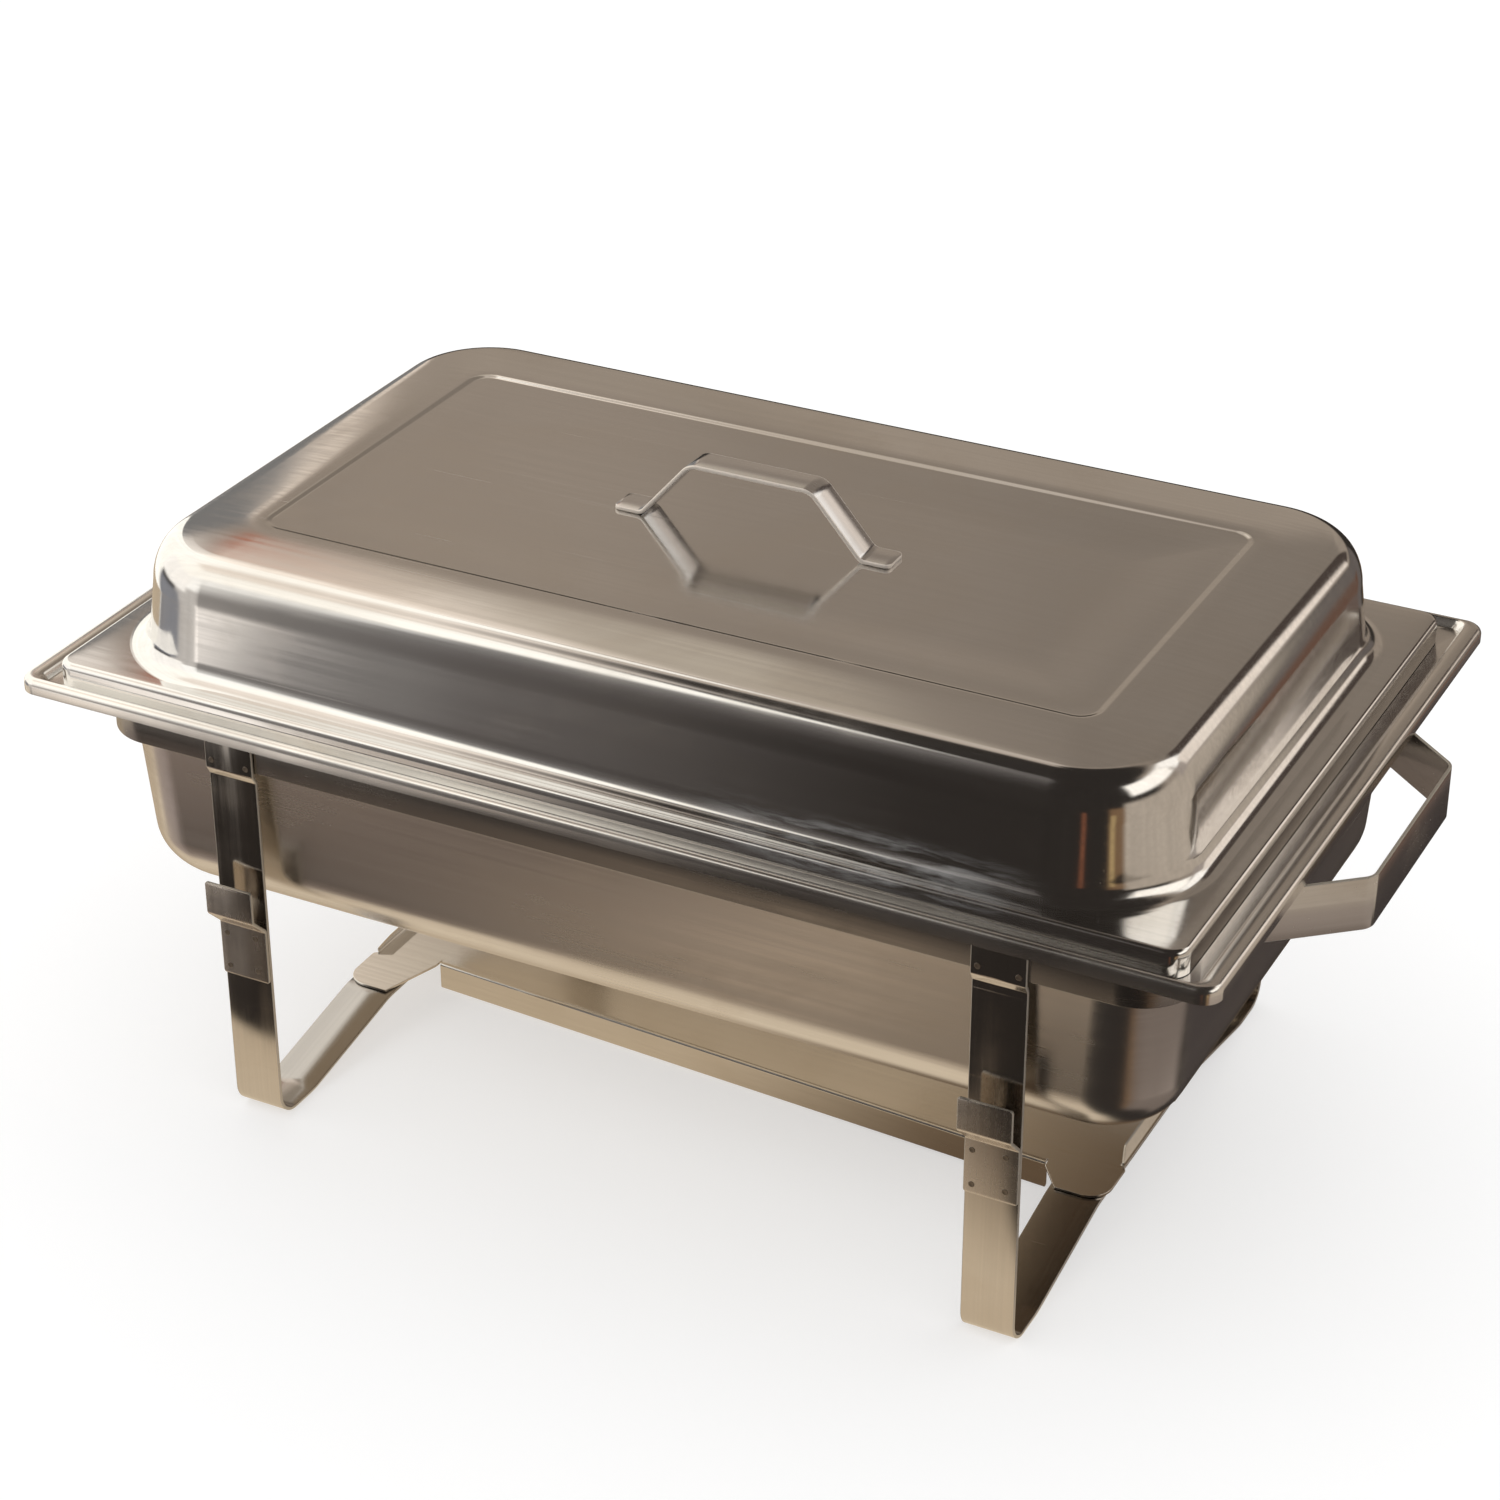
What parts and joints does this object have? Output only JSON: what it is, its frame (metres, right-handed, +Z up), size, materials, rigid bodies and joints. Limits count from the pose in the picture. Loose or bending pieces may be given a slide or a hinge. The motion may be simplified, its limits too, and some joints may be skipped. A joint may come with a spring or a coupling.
{
  "type": "chafing dish food warmer",
  "caption": "Full-size stainless chafing dish: flat-strip stand with a burner shelf, deep water pan, lift-out food pan and domed lid with a strap handle.",
  "frame": {"origin": "on the table top, at the middle of the bounding box; the pan is centred 11.75 mm to the left of it because its one side handle stands out at the right", "axes": "+X along the long side towards the side handle, -Y towards the front, +Z up"},
  "size_m": [0.5936, 0.351, 0.3095],
  "materials": {
    "steel_stand": "bright rolled stainless strip",
    "steel_handles": "bright rolled stainless strip, edges rounded",
    "steel_water_pan": "polished stainless sheet, brushed lengthwise on the wall",
    "steel_food_pan": "satin stainless sheet",
    "steel_lid": "mirror-polished stainless sheet with a brushed panel"
  },
  "bodies": {
    "stand": {"frame_band": "steel_stand", "leg_frame_left": "steel_stand", "leg_frame_right": "steel_stand", "leg_hook_front_left": "steel_stand", "leg_hook_front_right": "steel_stand", "leg_hook_rear_left": "steel_stand", "leg_hook_rear_right": "steel_stand", "side_handle": "steel_handles"},
    "shelf": {"burner_shelf": "steel_stand"},
    "water_pan": {"water_pan": "steel_water_pan"},
    "food_pan": {"food_pan": "steel_food_pan"},
    "lid": {"lid_shell": "steel_lid", "lid_handle": "steel_handles"}
  },
  "joints": [
    {"name": "water_pan_lift", "type": "slide", "parent": "stand", "child": "water_pan", "axis": [0, 0, 1], "range_m": [0, 0.15]},
    {"name": "food_pan_lift", "type": "slide", "parent": "water_pan", "child": "food_pan", "axis": [0, 0, 1], "range_m": [0, 0.1]},
    {"name": "lid_lift", "type": "slide", "parent": "food_pan", "child": "lid", "axis": [0, 0, 1], "range_m": [0, 0.12]},
    {"name": "shelf_lift", "type": "slide", "parent": "stand", "child": "shelf", "axis": [0, 0, 1], "range_m": [0, 0.06]}
  ]
}
